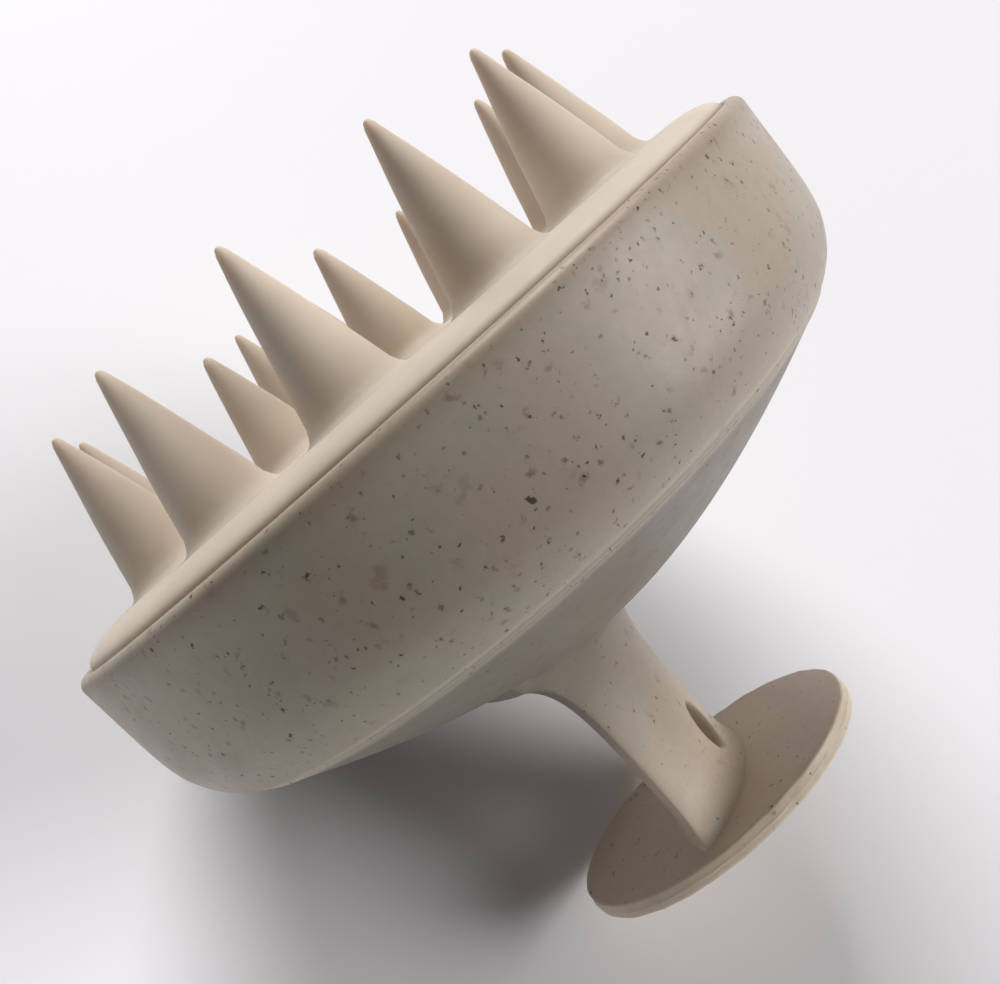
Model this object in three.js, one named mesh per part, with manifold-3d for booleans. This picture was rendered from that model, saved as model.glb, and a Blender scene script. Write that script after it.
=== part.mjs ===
// Scalp massager brush: a round body with soft cone bristles on top, held by a T-shaped stalk.
// Millimetres, +Z up. The brush stands on the flat outer face of its grip disc. The origin lies on the plane of
// that face, under the body's axis. The stalk's section is longest along Y, and the disc is longest near X.
import * as THREE from "three";
import { mergeVertices } from "three/addons/utils/BufferGeometryUtils.js";
import Module from "manifold-3d";

const wasm = await Module();
wasm.setup();

// Driving dimensions
const GAP = 0.3; // clearance between pieces that touch
const ROUND_STEPS = 40; // facets round the body
const RIM_Z = 57.1; // open rim of the outer shell
const BODY_R = 42.5;
const BORE_R = 40.9; // the shell's bore that holds the bristle pad
const LEDGE_Z = RIM_Z - 6.8; // step in the bore that carries the support plate
const LEDGE_R = 39.4;
// Where the shell's lower edge meets the back cover: [radius, depth below the rim], outside then inside.
const SEAM_OUT = [38, 17.75];
const SEAM_IN = [37.2, 16.4];

const DOME_R = 37.6;
const DOME_LOW_Z = RIM_Z - 31.5; // lowest point of the back cover's dome
const DOME_RISE = 13.5;
const DOME_POWER = 1.66;
const DOME_RADII = [0, 10, 18, 26, 32, 36];
const WALL = 2;

// The stalk and its disc stand a little to one side of the body's axis.
const HANDLE_X = -4.1;
const HANDLE_Y = -1;
const DISC_HALF_L = 18.3;
const DISC_HALF_W = 13.2;
const DISC_T = 2.3;
const DISC_TURN_DEG = 22; // from X to the disc's long side
const WEB_HALF_T = 4.2; // half thickness of the stalk at its waist
const WEB_HALF_L = 10.2; // half length of the stalk at its waist
const WEB_TOP_Z = DOME_LOW_Z + 3.6; // inside the dome, past where the flare meets it
// The hanging hole is oval, and taller than it is wide.
const HANG_HOLE_HALF_W = 1.7;
const HANG_HOLE_HALF_H = 3.1;
const HANG_HOLE_Z = 8.4;

const PLATE_R = 40.4;
const PLATE_T = 3;
const PLATE_Z = LEDGE_Z + GAP;
const PAD_Z = PLATE_Z + PLATE_T + GAP;
const PAD_TOP_Z = RIM_Z + 1.8;
const PAD_R = BORE_R - GAP;
const PAD_EDGE_R = 2.2; // rounding of the pad's upper edge

const BOSS_RING_R = 28;
const BOSS_R = 3.5;
const SCREW_COUNT = 4;
const SCREW_HOLE_R = 1.75;
const SHANK_R = SCREW_HOLE_R - GAP;
const SCREW_TIP_Z = LEDGE_Z - 10.6;
const HEAD_R = 2.8;
const HEAD_T = 1.6;
const HEAD_SEAT_Z = PLATE_Z + 0.8;

// Each ring of bristles: angles are in degrees from -Y towards +X.
const RINGS = [
  { name: "outer", count: 12, ringR: 29.1, firstDeg: 15, baseR: 4.6, rise: 15.9, pivotUp: 5 },
  { name: "inner", count: 6, ringR: 15.3, firstDeg: 30, baseR: 3.8, rise: 12.5, pivotUp: 4.2 },
];
const BRISTLE_STEPS = 14;
const TIP_R = 0.55;

// Materials
const strawPlastic = new THREE.MeshStandardMaterial({ color: 0xb3a594, roughness: 0.38 });
const beigePlastic = new THREE.MeshStandardMaterial({ color: 0xc2b29d, roughness: 0.5 });
const silicone = new THREE.MeshStandardMaterial({ color: 0xcdbfa6, roughness: 0.6 });
const platePlastic = new THREE.MeshStandardMaterial({ color: 0xd8d2c6, roughness: 0.5 });
const steel = new THREE.MeshStandardMaterial({ color: 0xb8b9bb, roughness: 0.3, metalness: 1 });

// Solids: a closed geometry becomes a manifold-3d solid, and a solid becomes a geometry again.
function solidOf(geometry) {
  const bare = geometry.clone();
  bare.deleteAttribute("normal");
  bare.deleteAttribute("uv");
  const merged = mergeVertices(bare, 1e-4);
  return new wasm.Manifold(
    new wasm.Mesh({
      numProp: 3,
      vertProperties: new Float32Array(merged.attributes.position.array),
      triVerts: new Uint32Array(merged.index.array),
    }),
  );
}

function geometryOf(solid) {
  const mesh = solid.getMesh();
  const geometry = new THREE.BufferGeometry();
  geometry.setAttribute("position", new THREE.BufferAttribute(mesh.vertProperties, 3));
  geometry.setIndex(new THREE.BufferAttribute(mesh.triVerts, 1));
  geometry.computeVertexNormals();
  return geometry;
}

// A solid turned about Z from [radius, height] points, listed anticlockwise with the radius to the right.
function turned(profile, steps = ROUND_STEPS) {
  const points = profile.map(([r, z]) => new THREE.Vector2(r, z));
  if (points[0].x > 0) points.push(points[0].clone());
  const geometry = new THREE.LatheGeometry(points, steps);
  geometry.rotateX(Math.PI / 2);
  return geometry;
}

function cylinder(radius, z0, z1, steps = 24) {
  return turned([[0, z0], [radius, z0], [radius, z1], [0, z1]], steps);
}

// Points of a circular arc in the [radius, height] plane, from one angle to another in degrees.
function arc(centreR, centreZ, radius, fromDeg, toDeg, steps) {
  return Array.from({ length: steps + 1 }, (_, i) => {
    const a = THREE.MathUtils.degToRad(fromDeg + ((toDeg - fromDeg) * i) / steps);
    return [centreR + radius * Math.cos(a), centreZ + radius * Math.sin(a)];
  });
}

// Positions on a ring about Z, the angle measured from -Y towards +X.
function ringPoint(ringR, deg) {
  const a = THREE.MathUtils.degToRad(deg);
  return [ringR * Math.sin(a), -ringR * Math.cos(a)];
}

// A [radius, depth] pair, with the depth measured down from the rim, as [radius, height].
function belowRim([r, depth]) {
  return [r, RIM_Z - depth];
}

// Outer shell: near-vertical side wall, rounded shoulder, and a slanted lower edge that the back cover meets.
function outerShell() {
  const wall = [SEAM_OUT, [39.2, 16.8], [40.3, 15.6], [41.2, 14], [41.8, 12.2], [42.2, 9], [BODY_R, 0.7]];
  const outside = new THREE.SplineCurve(wall.map(belowRim).map(([r, z]) => new THREE.Vector2(r, z)));
  const rim = arc(BODY_R - 0.7, RIM_Z - 0.7, 0.7, 30, 90, 2);
  const inside = [
    [BORE_R + 0.4, RIM_Z],
    [BORE_R, RIM_Z - 0.4],
    [BORE_R, LEDGE_Z],
    [LEDGE_R, LEDGE_Z],
    ...[[LEDGE_R, 11.5], [38.6, 14.6], SEAM_IN].map(belowRim),
  ];
  return turned([...outside.getPoints(8).map((p) => [p.x, p.y]), ...rim, ...inside]);
}

function domeZ(r) {
  return DOME_LOW_Z + DOME_RISE * Math.pow(r / DOME_R, DOME_POWER);
}

// Dome of the back cover: a shallow bowl whose slanted edge meets the shell's.
function domeSolid() {
  const below = DOME_RADII.map((r) => [r, domeZ(r)]);
  const above = DOME_RADII.map((r) => [r, domeZ(r) + WALL]).reverse();
  const edge = [SEAM_OUT, SEAM_IN].map(([r, depth]) => belowRim([r - GAP, depth + 0.15]));
  return solidOf(turned([...below, ...edge, ...above]));
}

// Half thickness and half length of the stalk at a height: a waist that flares into the disc and the dome.
function webHalfSizes(z) {
  const aboveDisc = z - DISC_T;
  const underDome = DOME_LOW_Z + 0.9 - z;
  return [
    WEB_HALF_T + 0.9 * Math.exp(-aboveDisc / 1.2) + 3.6 * Math.exp(-underDome / 3),
    WEB_HALF_L + 1.7 * Math.exp(-aboveDisc / 3) + 3.6 * Math.exp(-underDome / 3.4),
  ];
}

// A solid lofted through closed outlines of the same number of points, listed from the bottom up.
function loft(outlines) {
  const around = outlines[0].length;
  const points = outlines.flat();
  const index = [];
  for (let level = 0; level + 1 < outlines.length; level++) {
    for (let i = 0; i < around; i++) {
      const [a, b] = [level * around + i, level * around + ((i + 1) % around)];
      index.push(a, b, b + around, a, b + around, a + around);
    }
  }
  const top = (outlines.length - 1) * around;
  for (let i = 1; i + 1 < around; i++) {
    index.push(0, i + 1, i, top, top + i, top + i + 1);
  }
  const geometry = new THREE.BufferGeometry().setFromPoints(points);
  geometry.setIndex(index);
  return solidOf(geometry);
}

function ovalOutline(halfX, halfY, z, steps) {
  return Array.from({ length: steps }, (_, i) => {
    const a = (2 * Math.PI * i) / steps;
    return new THREE.Vector3(halfX * Math.cos(a), halfY * Math.sin(a), z);
  });
}

// A lens outline, whose two faces meet at a softened edge at each end of its length along Y.
function lensOutline(halfT, halfL, z, steps) {
  return Array.from({ length: steps }, (_, i) => {
    const a = (2 * Math.PI * i) / steps;
    const c = Math.cos(a);
    return new THREE.Vector3(halfT * (0.8 * c * Math.abs(c) + 0.2 * c), halfL * Math.sin(a), z);
  });
}

function stalkSolid() {
  const heights = [1.2, DISC_T, 3.1, 4.6, 8, 13, 17, 20, 23, 24.8, 26.6, WEB_TOP_Z];
  const outlines = heights.map((z) => {
    const [halfT, halfL] = webHalfSizes(Math.max(z, DISC_T));
    return lensOutline(halfT, halfL, z, 32);
  });
  const hole = new THREE.CylinderGeometry(1, 1, 30, 24);
  hole.rotateZ(Math.PI / 2);
  hole.scale(1, HANG_HOLE_HALF_W, HANG_HOLE_HALF_H);
  hole.translate(0, 0, HANG_HOLE_Z);
  return loft(outlines).subtract(solidOf(hole));
}

// Grip disc: an oval plate with rounded edges and a flat outer face.
function discSolid() {
  const levels = [
    [0, 0.8],
    [0.6, 0],
    [1.7, 0],
    [DISC_T, 0.7],
  ];
  const outlines = levels.map(([z, inset]) =>
    ovalOutline(DISC_HALF_L - inset, DISC_HALF_W - inset, z, ROUND_STEPS),
  );
  return loft(outlines).rotate(0, 0, DISC_TURN_DEG);
}

// Screw bosses stand on the inside of the dome, with blind holes open at the top.
function screwPlaces() {
  return Array.from({ length: SCREW_COUNT }, (_, i) => ringPoint(BOSS_RING_R, 45 + (360 / SCREW_COUNT) * i));
}

function moved(geometry, [x, y]) {
  return geometry.translate(x, y, 0);
}

// Everything below the middle of the dome's wall, which trims the feet of the bosses to its slope.
function belowDome() {
  const slope = DOME_RADII.map((r) => [r, domeZ(r) + WALL / 2]).reverse();
  return solidOf(turned([[0, 0], [36, 0], ...slope]));
}

function backCover() {
  const handle = stalkSolid().add(discSolid()).translate(HANDLE_X, HANDLE_Y, 0);
  let cover = domeSolid().add(handle);
  const trim = belowDome();
  for (const place of screwPlaces()) {
    const foot = domeZ(BOSS_RING_R - BOSS_R);
    const boss = solidOf(moved(cylinder(BOSS_R, foot, LEDGE_Z, 16), place));
    cover = cover.add(boss.subtract(trim));
    const hole = cylinder(SCREW_HOLE_R, SCREW_TIP_Z - 0.6, LEDGE_Z + 1, 12);
    cover = cover.subtract(solidOf(moved(hole, place)));
  }
  return geometryOf(cover);
}

// Support plate: a stiff disc behind the soft pad, with a counterbored hole for each screw.
function supportPlate() {
  const topZ = PLATE_Z + PLATE_T;
  let plate = solidOf(cylinder(PLATE_R, PLATE_Z, topZ, ROUND_STEPS));
  for (const place of screwPlaces()) {
    plate = plate.subtract(solidOf(moved(cylinder(SCREW_HOLE_R, PLATE_Z - 1, topZ + 1, 12), place)));
    const counterbore = cylinder(HEAD_R + GAP, HEAD_SEAT_Z, topZ + 1, 16);
    plate = plate.subtract(solidOf(moved(counterbore, place)));
  }
  return geometryOf(plate);
}

function plateScrew() {
  const seat = HEAD_SEAT_Z + GAP;
  return turned(
    [
      [0, SCREW_TIP_Z],
      [SHANK_R * 0.6, SCREW_TIP_Z + 0.4],
      [SHANK_R, SCREW_TIP_Z + 2],
      [SHANK_R, seat],
      [HEAD_R, seat],
      [HEAD_R, seat + HEAD_T * 0.5],
      [HEAD_R * 0.6, seat + HEAD_T],
      [0, seat + HEAD_T],
    ],
    12,
  );
}

// The root of a bristle is a cap of a ball centred above the pad, so it tips in a dish of the same centre.
function rootBallR({ baseR, pivotUp }) {
  return Math.hypot(baseR, pivotUp);
}

function bristlePlaces(ring) {
  return Array.from({ length: ring.count }, (_, i) =>
    ringPoint(ring.ringR, ring.firstDeg + (360 / ring.count) * i),
  );
}

// Bristle pad: a soft disc that fills the rim, with a shallow dish under each bristle.
function bristlePad() {
  const edge = arc(PAD_R - PAD_EDGE_R, PAD_TOP_Z - PAD_EDGE_R, PAD_EDGE_R, 0, 90, 3);
  let pad = solidOf(turned([[0, PAD_Z], [PAD_R, PAD_Z], ...edge, [0, PAD_TOP_Z]]));
  for (const ring of RINGS) {
    const radius = rootBallR(ring) + GAP;
    for (const [x, y] of bristlePlaces(ring)) {
      const ball = new THREE.SphereGeometry(radius, 16, 10);
      ball.rotateX(Math.PI / 2);
      ball.translate(x, y, PAD_TOP_Z + ring.pivotUp);
      pad = pad.subtract(solidOf(ball));
    }
  }
  return geometryOf(pad);
}

// One bristle: a cone that is slightly full near its rounded tip, on its ball-cap root.
function bristle(ring) {
  const { baseR, rise, pivotUp } = ring;
  const tipZ = PAD_TOP_Z + rise;
  const ballR = rootBallR(ring);
  const edgeDeg = THREE.MathUtils.radToDeg(Math.atan2(-pivotUp, baseR));
  const cap = arc(0, PAD_TOP_Z + pivotUp, ballR, -90, edgeDeg, 3);
  cap[0][0] = 0;
  const flank = [0.4, 0.8].map((t) => [
    baseR + (TIP_R - baseR) * t + 0.22 * Math.sin(Math.PI * t),
    PAD_TOP_Z + rise * t,
  ]);
  return turned([...cap, ...flank, [TIP_R, tipZ - TIP_R * 0.8], [TIP_R * 0.5, tipZ - 0.1], [0, tipZ]], BRISTLE_STEPS);
}

// The assembly
const brush = new THREE.Group();

function addPiece(name, geometry, material) {
  const mesh = new THREE.Mesh(geometry, material);
  mesh.name = name;
  brush.add(mesh);
  return mesh;
}

addPiece("outer_shell", outerShell(), strawPlastic);
addPiece("back_cover_with_handle", backCover(), beigePlastic);
addPiece("support_plate", supportPlate(), platePlastic);
addPiece("bristle_pad", bristlePad(), silicone);
screwPlaces().forEach(([x, y], i) => {
  addPiece(`plate_screw_${i + 1}`, plateScrew(), steel).position.set(x, y, 0);
});
for (const ring of RINGS) {
  bristlePlaces(ring).forEach(([x, y], i) => {
    const number = String(i + 1).padStart(2, "0");
    addPiece(`${ring.name}_bristle_${number}`, bristle(ring), silicone).position.set(x, y, 0);
  });
}

export default brush;
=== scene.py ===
"""Looks of the scalp massager brush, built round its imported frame.

Lengths are in millimetres unless a name or comment says otherwise, and MM turns them into metres.
"""

import math

import bmesh
import bpy
from mathutils import Matrix, Vector, noise


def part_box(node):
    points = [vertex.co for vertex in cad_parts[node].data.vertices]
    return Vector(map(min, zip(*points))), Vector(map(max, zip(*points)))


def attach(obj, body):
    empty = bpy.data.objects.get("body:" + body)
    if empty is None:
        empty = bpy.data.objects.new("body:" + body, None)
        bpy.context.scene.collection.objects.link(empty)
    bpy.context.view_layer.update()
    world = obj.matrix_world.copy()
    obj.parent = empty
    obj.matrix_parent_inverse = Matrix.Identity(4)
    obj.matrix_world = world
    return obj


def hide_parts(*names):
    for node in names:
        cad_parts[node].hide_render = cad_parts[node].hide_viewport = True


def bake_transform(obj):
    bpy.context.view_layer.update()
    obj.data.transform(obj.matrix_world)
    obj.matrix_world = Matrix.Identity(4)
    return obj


MM = 0.001
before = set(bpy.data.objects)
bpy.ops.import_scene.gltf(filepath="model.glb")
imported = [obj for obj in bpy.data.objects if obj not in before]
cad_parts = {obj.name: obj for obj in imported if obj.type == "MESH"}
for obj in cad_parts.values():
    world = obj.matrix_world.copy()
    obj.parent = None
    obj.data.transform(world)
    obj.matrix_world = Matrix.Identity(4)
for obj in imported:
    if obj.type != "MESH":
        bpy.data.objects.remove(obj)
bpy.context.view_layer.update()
scene = bpy.context.scene
scene.view_settings.view_transform = "Standard"
noise.seed_set(7)  # unevenness and wobble come out the same on every run


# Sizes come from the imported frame, so that the looks stay inside it.
def box_mm(node):
    """The low and high corners of a CAD node, in millimetres."""
    low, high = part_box(node)
    return low / MM, high / MM


shell_high = box_mm("outer_shell")[1]
pad_low, pad_high = box_mm("bristle_pad")
RIM_Z = shell_high.z
BODY_R = shell_high.x
SEAM_Z = RIM_Z - 17.6
PAD_TOP = pad_high.z
PAD_R = pad_high.x

# The rings of bristles. The first one's bearing is in degrees from -Y towards +X.
RINGS = {
    "outer": {"count": 12, "ring_r": 29.1, "first": 15, "base_r": 4.6},
    "inner": {"count": 6, "ring_r": 15.3, "first": 30, "base_r": 3.8},
}


# ---------------------------------------------------------------- meshes
def new_object(name, bm, sharp_deg=40):
    """A smooth object from a bmesh in millimetres, with creases where faces meet at more than sharp_deg."""
    bmesh.ops.recalc_face_normals(bm, faces=bm.faces)
    mesh = bpy.data.meshes.new(name)
    bm.to_mesh(mesh)
    bm.free()
    mesh.transform(Matrix.Scale(MM, 4))
    mesh.shade_smooth()
    mesh.set_sharp_from_angle(angle=math.radians(sharp_deg))
    obj = bpy.data.objects.new(name, mesh)
    scene.collection.objects.link(obj)
    return obj


def spline(points, per_span):
    """A Catmull-Rom line through [r, z] points."""
    pts = [Vector(p) for p in points]
    pts = [2 * pts[0] - pts[1], *pts, 2 * pts[-1] - pts[-2]]
    out = []
    for i in range(1, len(pts) - 2):
        p0, p1, p2, p3 = pts[i - 1 : i + 3]
        for k in range(per_span):
            t = k / per_span
            square = (2 * p0 - 5 * p1 + 4 * p2 - p3) * t**2
            cube = (3 * p1 - p0 - 3 * p2 + p3) * t**3
            out.append(0.5 * (2 * p1 + (p2 - p0) * t + square + cube))
    out.append(pts[-2])
    return [tuple(p) for p in out]


def arc(cr, cz, radius, start, end, steps):
    """Points of a circular arc in the [r, z] plane, angles in degrees."""
    angles = [math.radians(start + (end - start) * i / steps) for i in range(steps + 1)]
    return [(cr + radius * math.cos(a), cz + radius * math.sin(a)) for a in angles]


def rings_mesh(rings, closed=True):
    """A skin through rings of points, one point being a pole. closed joins the last ring to the first."""
    bm = bmesh.new()
    rows = [[bm.verts.new(p) for p in ring] for ring in rings]
    pairs = list(zip(rows, rows[1:]))
    if closed:
        pairs.append((rows[-1], rows[0]))
    for low, high in pairs:
        n = max(len(low), len(high))
        if len(low) == len(high) == 1:
            continue
        for i in range(n):
            j = (i + 1) % n
            corner = [low[i % len(low)], low[j % len(low)], high[j % len(high)], high[i % len(high)]]
            unique = list(dict.fromkeys(corner))
            if len(unique) > 2:
                bm.faces.new(unique)
    return bm


def ring(radius, z, steps):
    """Points of a level circle about Z, or its centre alone when the radius is nothing."""
    if radius < 1e-6:
        return [Vector((0, 0, z))]
    angles = [2 * math.pi * i / steps for i in range(steps)]
    return [Vector((radius * math.cos(a), radius * math.sin(a), z)) for a in angles]


def lathe(profile, steps, wobble=0.0, scale=0.05, seed=0.0):
    """Rings of a turned form. wobble moves each point in and out by that many millimetres."""
    rings = [ring(r, z, steps) for r, z in profile]
    if wobble:
        for points in rings:
            for p in points:
                away = Vector((p.x, p.y, 0))
                if away.length > 1e-6:
                    away.normalize()
                    at = Vector((p.x, p.y, p.z + seed)) * scale
                    p += away * wobble * noise.noise(at)
    return rings


# ---------------------------------------------------------------- materials
class Nodes:
    """A material's nodes, with object coordinates in millimetres as the texture space."""

    def __init__(self, name):
        self.material = bpy.data.materials.new(name)
        self.material.use_nodes = True
        self.tree = self.material.node_tree
        self.shader = self.tree.nodes["Principled BSDF"]
        coords = self.add("ShaderNodeTexCoord")
        scaled = self.add("ShaderNodeVectorMath", operation="SCALE")
        scaled.inputs["Scale"].default_value = 1 / MM
        self.link(coords.outputs["Object"], scaled.inputs[0])
        self.mm = scaled.outputs[0]

    def add(self, kind, **settings):
        node = self.tree.nodes.new(kind)
        for key, value in settings.items():
            setattr(node, key, value)
        return node

    def link(self, a, b):
        self.tree.links.new(a, b)

    def noise(self, period, detail=2.0, rough=0.5, offset=0.0):
        """Noise from 0 to 1 whose features are about period millimetres wide."""
        node = self.add("ShaderNodeTexNoise")
        node.inputs["Scale"].default_value = 1 / period
        node.inputs["Detail"].default_value = detail
        node.inputs["Roughness"].default_value = rough
        self.link(self.shift(offset), node.inputs["Vector"])
        return node.outputs["Fac"]

    def axis(self, letter):
        """One of the millimetre coordinates."""
        split = self.add("ShaderNodeSeparateXYZ")
        self.link(self.mm, split.inputs[0])
        return split.outputs[letter]

    def shift(self, offset, warp=0.0, period=1.0):
        """The millimetre coordinates moved by offset, and bent by up to warp millimetres."""
        vector = self.mm
        if offset:
            moved = self.add("ShaderNodeVectorMath", operation="ADD")
            moved.inputs[1].default_value = (offset, offset * 0.7, -offset * 0.4)
            self.link(vector, moved.inputs[0])
            vector = moved.outputs[0]
        if warp:
            bend = self.add("ShaderNodeTexNoise")
            bend.inputs["Scale"].default_value = 1 / period
            bend.inputs["Detail"].default_value = 2.0
            self.link(vector, bend.inputs["Vector"])
            centred = self.add("ShaderNodeVectorMath", operation="MULTIPLY_ADD")
            centred.inputs[1].default_value = (warp, warp, warp)
            centred.inputs[2].default_value = (-warp / 2,) * 3
            self.link(bend.outputs["Color"], centred.inputs[0])
            total = self.add("ShaderNodeVectorMath", operation="ADD")
            self.link(vector, total.inputs[0])
            self.link(centred.outputs[0], total.inputs[1])
            vector = total.outputs[0]
        return vector

    def ramp(self, value, low, high, out_low=0.0, out_high=1.0, smooth=True):
        """A value between low and high mapped to out_low to out_high, and held there outside it."""
        node = self.add("ShaderNodeMapRange")
        node.interpolation_type = "SMOOTHSTEP" if smooth else "LINEAR"
        for key, number in zip(("From Min", "From Max", "To Min", "To Max"), (low, high, out_low, out_high)):
            node.inputs[key].default_value = number
        self.link(value, node.inputs["Value"])
        return node.outputs["Result"]

    def math(self, operation, a, b=None, c=None):
        """A sum on sockets or plain numbers."""
        node = self.add("ShaderNodeMath", operation=operation)
        for i, value in enumerate((a, b, c)):
            if value is None:
                continue
            if isinstance(value, (int, float)):
                node.inputs[i].default_value = value
            else:
                self.link(value, node.inputs[i])
        return node.outputs[0]

    def mix(self, fac, a, b):
        """The colour a, mixed with b by fac."""
        node = self.add("ShaderNodeMix", data_type="RGBA")
        for socket, value in ((node.inputs[0], fac), (node.inputs[6], a), (node.inputs[7], b)):
            if isinstance(value, (int, float)):
                socket.default_value = value
            elif isinstance(value, tuple):
                socket.default_value = (*value, 1)
            else:
                self.link(value, socket)
        return node.outputs[2]

    def specks(self, cell, size, share, soft, ragged, offset):
        """Scattered flecks up to size millimetres across, in one of share of the cells, with ragged edges."""
        vector = self.shift(offset, warp=size * 1.6, period=size * 2.2)
        cells = self.add("ShaderNodeTexVoronoi")
        cells.inputs["Scale"].default_value = 1 / cell
        cells.inputs["Randomness"].default_value = 1.0
        self.link(vector, cells.inputs["Vector"])
        split = self.add("ShaderNodeSeparateColor")
        self.link(cells.outputs["Color"], split.inputs[0])
        chosen = self.math("LESS_THAN", split.outputs["Red"], share)
        unit = size / 2 / cell
        radius = self.math("MULTIPLY_ADD", split.outputs["Green"], 0.8 * unit, 0.2 * unit)
        edge_noise = self.noise(size * 0.45, 2, 0.6, offset=offset + 5)
        ragged_edge = self.ramp(edge_noise, 0.3, 0.7, -ragged * unit, ragged * unit * 0.5)
        radius = self.math("ADD", radius, ragged_edge)
        inside = self.math("SUBTRACT", radius, cells.outputs["Distance"])
        edge = self.ramp(inside, 0.0, unit * soft)
        return self.math("MULTIPLY", edge, chosen)

    def bump(self, height, strength, distance_mm, base=None):
        """A normal bumped by a height, on top of another bump if base is given."""
        node = self.add("ShaderNodeBump")
        node.inputs["Strength"].default_value = strength
        node.inputs["Distance"].default_value = distance_mm * MM
        self.link(height, node.inputs["Height"])
        if base is not None:
            self.link(base, node.inputs["Normal"])
        return node.outputs["Normal"]

    def set(self, **values):
        """Sets or links inputs of the shader, whose names are written with underscores for spaces."""
        for key, value in values.items():
            socket = self.shader.inputs[key.replace("_", " ")]
            if isinstance(value, (int, float, tuple)):
                socket.default_value = value
            else:
                self.link(value, socket)


def srgb(r, g, b):
    """A display colour, each channel from 0 to 255, as linear light."""
    return tuple(((c / 255 + 0.055) / 1.055) ** 2.4 if c > 10 else c / 255 / 12.92 for c in (r, g, b))


# Flecks of ground straw: cell and size in millimetres, share of the cells, softness of the edge, raggedness,
# strength and display colour.
FLECKS = (
    (2.6, 2.4, 0.6, 0.95, 0.6, 0.32, (108, 86, 66)),
    (1.6, 1.3, 0.6, 0.85, 0.6, 0.45, (100, 76, 56)),
    (1.05, 0.76, 0.66, 0.7, 0.6, 0.6, (88, 66, 49)),
    (1.05, 0.6, 0.52, 0.55, 0.7, 0.84, (52, 40, 33)),
    (0.6, 0.38, 0.42, 0.55, 0.4, 0.74, (60, 46, 36)),
    (5.0, 1.2, 0.2, 0.5, 0.7, 0.85, (50, 40, 33)),
)
SUNKEN_ROW = 3  # the row of flecks that dents the surface and dulls it


def straw_plastic(name, base, warm, green, mauve, amount, rough, offset, foot=None):
    """Plastic filled with ground straw: soft clouds, a pale line painted as a highlight where shell and dome
    meet, a tinted rim and brown to dark flecks.

    foot is the paler colour of a piece that reaches down to the grip disc: partly the handle's own paler tone
    and partly painted light, as the disc lies out of the body's shadow.
    """
    n = Nodes(name)
    colour = n.mix(n.ramp(n.noise(17, 3, 0.55, offset=offset), 0.36, 0.66), base, warm)
    patches = n.ramp(n.noise(6.5, 2, 0.5, offset=offset + 31), 0.5, 0.7, 0, 0.8)
    colour = n.mix(patches, colour, green)
    colour = n.mix(n.ramp(n.axis("X"), 4, 40, 0, 0.7), colour, mauve)
    # Painted light: the piece grows paler towards the grip disc, which lies out of the body's shadow, over
    # the handle's own paler tone.
    if foot:
        colour = n.mix(n.ramp(n.axis("Z"), 3, 28, 1, 0), colour, foot)
        # Painted light: the grip disc below its inner face is painted near white, as if its edge were
        # brightly lit, over the disc's own pale tone.
        colour = n.mix(n.ramp(n.axis("Z"), 2.0, 2.26, 1, 0), colour, srgb(238, 221, 196))
    # Painted highlight: a pale line where shell and dome meet, as if their rounded lip caught the light.
    seam_highlight = n.ramp(n.math("ABSOLUTE", n.math("SUBTRACT", n.axis("Z"), SEAM_Z)), 0.1, 1.1, 0.55, 0)
    colour = n.mix(seam_highlight, colour, srgb(214, 203, 186))
    edge_tint = n.ramp(n.axis("Z"), RIM_Z - 3, RIM_Z - 0.4, 0, 0.45)
    colour = n.mix(edge_tint, colour, srgb(150, 129, 108))
    marks = None
    for i, (cell, size, share, soft, ragged, strength, tone) in enumerate(FLECKS):
        fleck = n.specks(cell, size, share * amount, soft, ragged, offset + 13.7 * i)
        if i == SUNKEN_ROW:
            marks = fleck
        colour = n.mix(n.math("MULTIPLY", fleck, strength), colour, srgb(*tone))
    grain = n.ramp(n.noise(0.8, 3, 0.6, offset=offset + 57), 0.3, 0.7, 0.965, 1.03, smooth=False)
    shade = n.add("ShaderNodeVectorMath", operation="SCALE")
    n.link(colour, shade.inputs[0])
    n.link(grain, shade.inputs["Scale"])
    wear = n.noise(3.5, 4, 0.65, offset=offset + 83)
    worn = n.ramp(wear, 0.3, 0.75, rough - 0.04, rough + 0.08)
    roughness = n.math("ADD", worn, n.math("MULTIPLY", marks, 0.15))
    peel = n.bump(n.noise(1.4, 2, 0.5, offset=offset + 7), 0.2, 0.05)
    fine = n.bump(n.noise(0.25, 2, 0.6, offset=offset + 19), 0.12, 0.02, peel)
    pits = n.bump(marks, 0.25, -0.03, fine)
    n.set(Base_Color=shade.outputs[0], Roughness=roughness, Normal=pits)
    n.set(IOR=1.48, Subsurface_Weight=0.1, Subsurface_Scale=1.2 * MM)
    n.shader.inputs["Subsurface Radius"].default_value = (1.0, 0.75, 0.5)
    return n.material


def silicone(name):
    """Matte silicone with faint clouds, a little dust and a soft glow under its surface."""
    n = Nodes(name)
    clouds = n.ramp(n.noise(9, 3, 0.5), 0.35, 0.7)
    colour = n.mix(clouds, srgb(212, 198, 181), srgb(205, 190, 172))
    dust = n.specks(1.3, 0.22, 0.12, 0.5, 0.5, 17)
    colour = n.mix(n.math("MULTIPLY", dust, 0.3), colour, srgb(236, 228, 214))
    roughness = n.ramp(n.noise(2.4, 4, 0.6, offset=5), 0.3, 0.7, 0.52, 0.66)
    grain = n.bump(n.noise(0.3, 3, 0.65, offset=9), 0.22, 0.03)
    waves = n.bump(n.noise(2.8, 2, 0.5, offset=13), 0.18, 0.12, grain)
    n.set(Base_Color=colour, Roughness=roughness, Normal=waves, IOR=1.41)
    n.set(Subsurface_Weight=0.35, Subsurface_Scale=2.2 * MM, Sheen_Weight=0.06, Sheen_Roughness=0.5)
    n.shader.inputs["Subsurface Radius"].default_value = (1.0, 0.7, 0.42)
    return n.material


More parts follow.
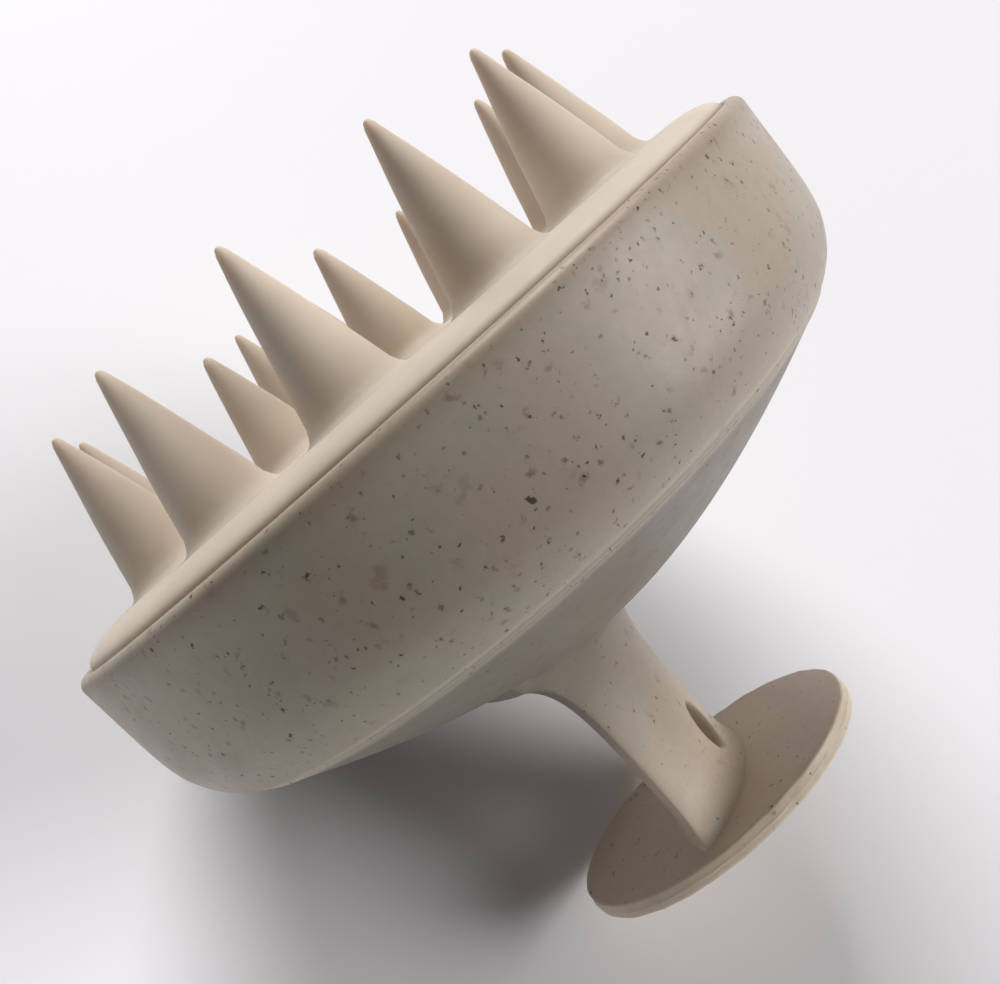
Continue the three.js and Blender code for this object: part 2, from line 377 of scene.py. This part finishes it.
def plain_plastic(name):
    """Off-white moulded plastic."""
    n = Nodes(name)
    colour = n.mix(n.ramp(n.noise(8, 2), 0.35, 0.7), srgb(216, 210, 198), srgb(206, 199, 186))
    n.set(Base_Color=colour, Roughness=n.ramp(n.noise(1.5, 3), 0.3, 0.7, 0.42, 0.55))
    n.set(Normal=n.bump(n.noise(0.6, 3, 0.6), 0.2, 0.04))
    return n.material


def zinc_steel(name):
    """Zinc-plated steel."""
    n = Nodes(name)
    colour = n.mix(n.ramp(n.noise(1.2, 3, 0.6), 0.3, 0.7), srgb(190, 190, 192), srgb(168, 169, 172))
    n.set(Base_Color=colour, Roughness=n.ramp(n.noise(0.8, 3), 0.3, 0.7, 0.26, 0.4), Metallic=1.0)
    n.set(Normal=n.bump(n.noise(0.3, 2), 0.15, 0.02))
    return n.material


shell_plastic = straw_plastic(
    "straw_plastic",
    base=srgb(180, 170, 151),
    warm=srgb(176, 161, 143),
    green=srgb(166, 165, 146),
    mauve=srgb(197, 182, 167),
    amount=1.0,
    rough=0.42,
    offset=0.0,
)
# The handle's straw plastic: its base, darker than the shell's, is painted shade on the dome under the body,
# and its paler foot is painted light on the grip disc.
cover_plastic = straw_plastic(
    "handle_plastic",
    base=srgb(146, 137, 125),
    warm=srgb(140, 130, 118),
    green=srgb(139, 133, 120),
    mauve=srgb(146, 135, 126),
    amount=0.3,
    rough=0.46,
    offset=140.0,
    foot=srgb(226, 209, 188),
)
soft_silicone = silicone("silicone")


def finish_piece(obj, material, node):
    """Gives a piece its material, and puts it in place of its CAD node."""
    obj.data.materials.append(material)
    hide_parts(node)


# ---------------------------------------------------------------- outer shell
def below_rim(*pairs):
    """[radius, depth below the rim] pairs as [radius, height]."""
    return [(r, RIM_Z - depth) for r, depth in pairs]


def shell_profile():
    """The shell's closed section, from its lower edge up the outside, over the rim and down the bore."""
    bead = below_rim((38.0, 17.75), (38.16, 17.74), (38.27, 17.62), (38.3, 17.45), (38.35, 17.34))
    low_wall = [(38.42, 17.3), (39.2, 16.8), (40.3, 15.6), (41.2, 14), (41.8, 12.2)]
    wall = below_rim(*low_wall, (42.18, 9), (BODY_R - 0.03, 1.1))
    rim = arc(BODY_R - 1.08, RIM_Z - 1.05, 1.05, 6, 84, 8)
    crest = [(41.36, RIM_Z), (41.22, RIM_Z - 0.02), (41.1, RIM_Z - 0.12), (40.95, RIM_Z - 0.4)]
    bore = [(40.9, RIM_Z - 1), (40.9, RIM_Z - 4), (40.9, RIM_Z - 6.8), (39.4, RIM_Z - 6.8)]
    inside = below_rim((39.4, 9), (39.4, 11.5), (38.6, 14.6), (37.9, 15.6), (37.2, 16.4))
    return bead + spline(wall, 8) + rim + crest + bore + inside


shell_rings = lathe(shell_profile(), 288, wobble=0.05, scale=0.06)
shell = new_object("outer_shell_skin", rings_mesh(shell_rings), 35)
finish_piece(shell, shell_plastic, "outer_shell")
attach(shell, "brush_body")


# ---------------------------------------------------------------- back cover, stalk and grip disc
DISC_L, DISC_W, DISC_T = 18.3, 13.2, 2.3  # half length, half width, thickness
DISC_TURN = math.radians(22)
HANDLE = Vector((-4.1, -1.0, 0))  # middle of the grip disc's outer face
HOLE_Z = 8.4
DOME_LOW = RIM_Z - 31.5
DOME_EDGE = 37.6
DOME_WALL = 2
STALK_TOP = DOME_LOW + 3.5
COVER_STEPS = 240


def dome_z(r):
    """Height of the dome's outer face at a radius."""
    return DOME_LOW + 13.5 * (r / DOME_EDGE) ** 1.66


def web_sizes(z):
    """Half thickness and half length of the stalk at a height: a waist that flares at both ends."""
    above_disc, below_dome = z - DISC_T, DOME_LOW + 0.9 - z
    return (
        4.2 + 0.9 * math.exp(-above_disc / 1.2) + 3.6 * math.exp(-below_dome / 3),
        10.2 + 1.7 * math.exp(-above_disc / 3) + 3.6 * math.exp(-below_dome / 3.4),
    )


def disc_outline(inset, z):
    """The grip disc's oval outline, listed from the same bearing as the stalk's."""
    points = []
    for i in range(COVER_STEPS):
        a = 2 * math.pi * i / COVER_STEPS - DISC_TURN
        flat = Vector(((DISC_L - inset) * math.cos(a), (DISC_W - inset) * math.sin(a), z))
        points.append(Matrix.Rotation(DISC_TURN, 3, "Z") @ flat + HANDLE)
    return points


def lens_outline(half_t, half_l, z):
    """The stalk's section: two curved faces that meet at a softened edge at each end of its length."""
    points = []
    for i in range(COVER_STEPS):
        a = 2 * math.pi * i / COVER_STEPS
        c = math.cos(a)
        points.append(HANDLE + Vector((half_t * (0.82 * c * abs(c) + 0.18 * c), half_l * math.sin(a), z)))
    return points


def between(low, high, t, z):
    """Points part way from one outline to the other, all at one height."""
    return [Vector((p.x + (q.x - p.x) * t, p.y + (q.y - p.y) * t, z)) for p, q in zip(low, high)]


def disc_rings():
    """The grip disc: outer face, rounded edge with its faint parting ridge, inner face up to the stalk."""
    rings = [[HANDLE.copy()]]
    middle, rim = [HANDLE] * COVER_STEPS, disc_outline(1.2, 0)
    rings += [between(middle, rim, t, 0) for t in (0.1, 0.3, 0.5, 0.7, 0.85, 0.95)]
    low = arc(-0.75, 0.75, 0.75, -88, -4, 6)
    side = [(0.0, 0.95), (0.05, 1.1), (0.08, 1.22), (0.02, 1.38), (0.0, 1.5), (-0.02, 1.75)]
    high = arc(-0.37, DISC_T - 0.35, 0.33, 4, 86, 6)
    ridge = 0.08  # how far the parting ridge stands out
    rings += [disc_outline(ridge - out, z) for out, z in low + side + high]
    edge, foot = rings[-1], lens_outline(*web_sizes(DISC_T + 0.1), 0)
    for k in range(1, 13):
        t = k / 12
        rings.append(between(edge, foot, t, DISC_T - 0.02 + 0.12 * t**4))
    return rings


def stalk_rings():
    """The stalk, from the disc up to where its flare meets the dome."""
    rings = []
    for k in range(1, 64):
        z = DISC_T + 0.1 + (STALK_TOP - DISC_T - 0.1) * (k / 63)
        points = lens_outline(*web_sizes(z), z)
        for p in points:
            # a smooth minimum turns the flare out into the dome
            limit = dome_z(math.hypot(p.x, p.y))
            h = max(0.0, min(1.0, 0.5 + (limit - p.z) / 1.8))
            p.z = limit * (1 - h) + p.z * h - 0.9 * h * (1 - h)
        rings.append(points)
    return rings


def roughen(rings, amount, period, seed):
    """Moves each point by up to amount millimetres, as the edge of a hand-trimmed moulding is uneven."""
    for points in rings:
        for p in points:
            at = (p + Vector((seed, seed, seed))) / period
            p += noise.noise_vector(at) * amount


def dome_rings(start):
    """The dome, from the top of the stalk's flare out to its edge."""
    rings = []
    for k in range(1, 25):
        points = []
        for p in start:
            flat = Vector((p.x, p.y, 0))
            r = flat.length + (DOME_EDGE - 0.25 - flat.length) * k / 24
            points.append(flat.normalized() * r + Vector((0, 0, dome_z(r))))
        rings.append(points)
    return rings


def even_ring(r, z, like):
    """A round ring whose points lie on the bearings of another ring."""
    return [Vector((p.x, p.y, 0)).normalized() * r + Vector((0, 0, z)) for p in like]


def cover_mesh():
    """Disc, stalk and dome as one skin, then over the dome's edge and back along its inside."""
    rings = disc_rings()
    disc_edge = rings[9:28]
    roughen(disc_edge, 0.09, 1.5, 40)
    rings += stalk_rings()
    rings += dome_rings(rings[-1])
    rim = rings[-1]
    edge = below_rim((37.7, 17.98), (37.85, 17.86), (37.72, 17.66), (36.92, 16.55))
    rings += [even_ring(r, z, rim) for r, z in edge]
    rings += [even_ring(r, dome_z(r) + DOME_WALL, rim) for r in (35, 32, 28, 24, 20, 16, 12, 7, 3)]
    rings.append([Vector((0, 0, dome_z(0) + DOME_WALL))])
    return rings_mesh(rings, closed=False)


cover = new_object("back_cover_skin", cover_mesh(), 35)


def hole_cutter():
    """The oval hanging hole, a little flared at both mouths so that its edges are rounded."""
    profile = [(0, -16), (1.6, -16), (1.3, -4.9), (1.14, -4.3), (1.03, -3.95), (1.0, -3.5), (1.0, 0)]
    profile += [(r, -x) for r, x in reversed(profile[:-1])]
    cut = new_object("hole_cutter", rings_mesh(lathe(profile, 64), closed=False))
    lie = Matrix.Rotation(math.pi / 2, 4, "Y")
    oval = Matrix.Diagonal((1, 1.7, 3.1, 1))
    cut.data.transform(Matrix.Translation((HANDLE + Vector((0, 0, HOLE_Z))) * MM) @ oval @ lie)
    return cut


# The hole is cut once, and the cut mesh is kept without its modifier.
cutter = hole_cutter()
modifier = cover.modifiers.new("hole", "BOOLEAN")
modifier.object = cutter
modifier.operation = "DIFFERENCE"
modifier.solver = "EXACT"
bpy.context.view_layer.update()
cut_mesh = bpy.data.meshes.new_from_object(cover.evaluated_get(bpy.context.evaluated_depsgraph_get()))
cover.modifiers.clear()
cover.data = cut_mesh
bpy.data.objects.remove(cutter)
cover.data.materials.clear()
finish_piece(cover, cover_plastic, "back_cover_with_handle")
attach(cover, "brush_body")


# ---------------------------------------------------------------- silicone pad and bristles
def pad_profile():
    """A flat top that rolls down to the rim over the pad's outer few millimetres."""
    roll, drop = 5.6, 1.75
    angles = [math.radians(90 * i / 14) for i in range(14)]
    edge = [(PAD_R - roll + roll * math.cos(a), PAD_TOP - drop + drop * math.sin(a)) for a in angles]
    top = [(r, PAD_TOP) for r in (PAD_R - roll, 30, 22, 14, 6, 0)]
    return [(0, pad_low.z), (PAD_R, pad_low.z), *edge, *top]


pad_rings = lathe(pad_profile(), 192, wobble=0.04, scale=0.08)
pad = new_object("bristle_pad_skin", rings_mesh(pad_rings, closed=False), 50)
finish_piece(pad, soft_silicone, "bristle_pad")
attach(pad, "brush_body")


def bristle_profile(base_r, tip_z):
    """From the root's underside, out over its small fillet, and up the cone to the rounded tip."""
    rise = tip_z - PAD_TOP
    fillet = [(base_r + 1.0, -0.12), (base_r + 0.75, 0.02), (base_r + 0.35, 0.2), (base_r + 0.05, 0.55)]
    cone = []
    for k in range(1, 25):
        t = 0.04 + 0.92 * k / 24
        r = base_r + (0.36 - base_r) * t + 0.12 * math.sin(math.pi * t)
        cone.append((r, rise * t))
    tip = arc(0, rise - 0.5, 0.42, 12, 90, 5)
    points = [(0, -0.3), (base_r + 0.9, -0.3), *fillet, *cone, *tip]
    return [(max(r, 0.0), PAD_TOP + z) for r, z in points]


for ring_name, spec in RINGS.items():
    for i in range(spec["count"]):
        name = f"{ring_name}_bristle_{i + 1:02d}"
        tip_z = box_mm(name)[1].z
        turn = math.radians(spec["first"] + 360 / spec["count"] * i)
        centre = Vector((spec["ring_r"] * math.sin(turn), -spec["ring_r"] * math.cos(turn), 0))
        rings = lathe(bristle_profile(spec["base_r"], tip_z), 40, wobble=0.05, scale=0.25, seed=13.0 * i)
        bm = rings_mesh(rings, closed=False)
        bmesh.ops.translate(bm, verts=bm.verts, vec=centre)
        bristle = new_object(f"{name}_skin", bm, 60)
        finish_piece(bristle, soft_silicone, name)
        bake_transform(bristle)

# ---------------------------------------------------------------- inner parts, kept from the CAD
INNER_PARTS = {
    "support_plate": ("plate_plastic", plain_plastic("plate_plastic")),
    "plate_screw": ("screw_steel", zinc_steel("zinc_steel")),
}
for node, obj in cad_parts.items():
    for start, (slot, material) in INNER_PARTS.items():
        if node.startswith(start):
            obj.data.materials.clear()
            obj.data.materials.append(material)

# ---------------------------------------------------------------- camera
TURN, PITCH, ROLL = 0.385, -0.151, -0.732
CAMERA_AT = (0, -116.7, RIM_Z + 2.8)
SENSOR_WIDTH = 36


def turned(v):
    """A direction or place turned about Z by the brush's turn in the picture."""
    return Matrix.Rotation(TURN, 3, "Z") @ Vector(v)


forward = turned((0, math.cos(PITCH), math.sin(PITCH)))
right = forward.cross(Vector((0, 0, 1))).normalized()
up = right.cross(forward)
rolled_right = math.cos(ROLL) * right + math.sin(ROLL) * up
rolled_up = -math.sin(ROLL) * right + math.cos(ROLL) * up
camera = bpy.data.objects.new("camera", bpy.data.cameras.new("camera"))
scene.collection.objects.link(camera)
facing = Matrix((rolled_right, rolled_up, -forward)).transposed().to_4x4()
camera.matrix_world = Matrix.Translation(turned(CAMERA_AT) * MM) @ facing
camera.data.sensor_width = SENSOR_WIDTH
camera.data.lens = SENSOR_WIDTH * 1.1295
camera.data.clip_start = 5 * MM
scene.camera = camera

# ---------------------------------------------------------------- table, lights, surroundings
# The brush lies on its side: on the edge of its grip disc and on the shoulder of its shell.
def table_axis(lean):
    """The table's upward direction for a lean, kept square to the picture's own level."""
    swing = math.asin(math.tan(lean) * math.tan(-ROLL))
    level = Vector((forward.x, forward.y, 0)).normalized()
    side = (math.cos(swing) * level - math.sin(swing) * right).normalized()
    return -math.cos(lean) * side + math.sin(lean) * Vector((0, 0, 1))


def shell_reach(axis):
    """How low the shell comes along an axis, in millimetres."""
    flat = math.hypot(axis.x, axis.y)
    return min(z * axis.z - r * flat for r, z in shell_profile())


def disc_reach(axis):
    """How low the grip disc comes along an axis, in millimetres."""
    return min(p.dot(axis) for z in (0.2, 0.7) for p in disc_outline(0.0, z))


# The lean at which the shell and the disc come equally low is found by halving.
lean_low, lean_high = math.radians(10), math.radians(46)
for _ in range(24):
    lean = (lean_low + lean_high) / 2
    if shell_reach(table_axis(lean)) < disc_reach(table_axis(lean)):
        lean_low = lean
    else:
        lean_high = lean
table_up = table_axis(lean)
TABLE_GAP = 0.4  # millimetres under the brush
table_middle = table_up * (shell_reach(table_up) - TABLE_GAP) * MM


def add_table():
    """A plain table that is seen from its upper side only, so that the brush shows from every angle."""
    bm = bmesh.new()
    bmesh.ops.create_grid(bm, x_segments=4, y_segments=4, size=2.5)
    mesh = bpy.data.meshes.new("table")
    bm.to_mesh(mesh)
    bm.free()
    obj = bpy.data.objects.new("table", mesh)
    scene.collection.objects.link(obj)
    lie = table_up.to_track_quat("Z", "Y").to_matrix().to_4x4()
    obj.matrix_world = Matrix.Translation(table_middle) @ lie
    material = bpy.data.materials.new("table")
    material.use_nodes = True
    nodes, links = material.node_tree.nodes, material.node_tree.links
    shader = nodes["Principled BSDF"]
    shader.inputs["Base Color"].default_value = (*srgb(244, 243, 247), 1)
    shader.inputs["Roughness"].default_value = 0.6
    shader.inputs["Specular IOR Level"].default_value = 0.2
    clear = nodes.new("ShaderNodeBsdfTransparent")
    side_of = nodes.new("ShaderNodeNewGeometry")
    pick = nodes.new("ShaderNodeMixShader")
    links.new(side_of.outputs["Backfacing"], pick.inputs[0])
    links.new(shader.outputs[0], pick.inputs[1])
    links.new(clear.outputs[0], pick.inputs[2])
    links.new(pick.outputs[0], nodes["Material Output"].inputs[0])
    mesh.materials.append(material)


add_table()


def softbox(name, direction, distance, size, power, colour):
    """An area light, lengths in metres. direction is (right, up, towards the camera) in the picture."""
    light = bpy.data.lights.new(name, "AREA")
    light.shape = "DISK"
    light.size = size
    light.energy = power
    light.color = colour
    obj = bpy.data.objects.new(name, light)
    scene.collection.objects.link(obj)
    centre = Vector((0, 0, 35)) * MM
    way = (direction[0] * rolled_right + direction[1] * rolled_up - direction[2] * forward).normalized()
    obj.location = centre + way * distance
    obj.rotation_mode = "QUATERNION"
    obj.rotation_quaternion = way.to_track_quat("Z", "Y")
    obj.visible_camera = False


softbox("key", (-0.3, 0.92, 0.14), 2.5, 1.5, 60, (1.0, 0.99, 0.98))
softbox("side", (0.84, 0.36, 0.42), 2.5, 1.4, 34, (1.0, 0.98, 0.965))

# The world lights the brush faintly, while the camera sees a plain pale backdrop.
world = bpy.data.worlds.new("world")
scene.world = world
world.use_nodes = True
tree = world.node_tree
ambient = tree.nodes["Background"]
ambient.inputs[0].default_value = (0.92, 0.94, 1.0, 1)
ambient.inputs[1].default_value = 0.09
backdrop = tree.nodes.new("ShaderNodeBackground")
backdrop.inputs[0].default_value = (*srgb(243, 242, 246), 1)
seen = tree.nodes.new("ShaderNodeLightPath")
pick = tree.nodes.new("ShaderNodeMixShader")
tree.links.new(seen.outputs["Is Camera Ray"], pick.inputs[0])
tree.links.new(ambient.outputs[0], pick.inputs[1])
tree.links.new(backdrop.outputs[0], pick.inputs[2])
tree.links.new(pick.outputs[0], tree.nodes["World Output"].inputs[0])
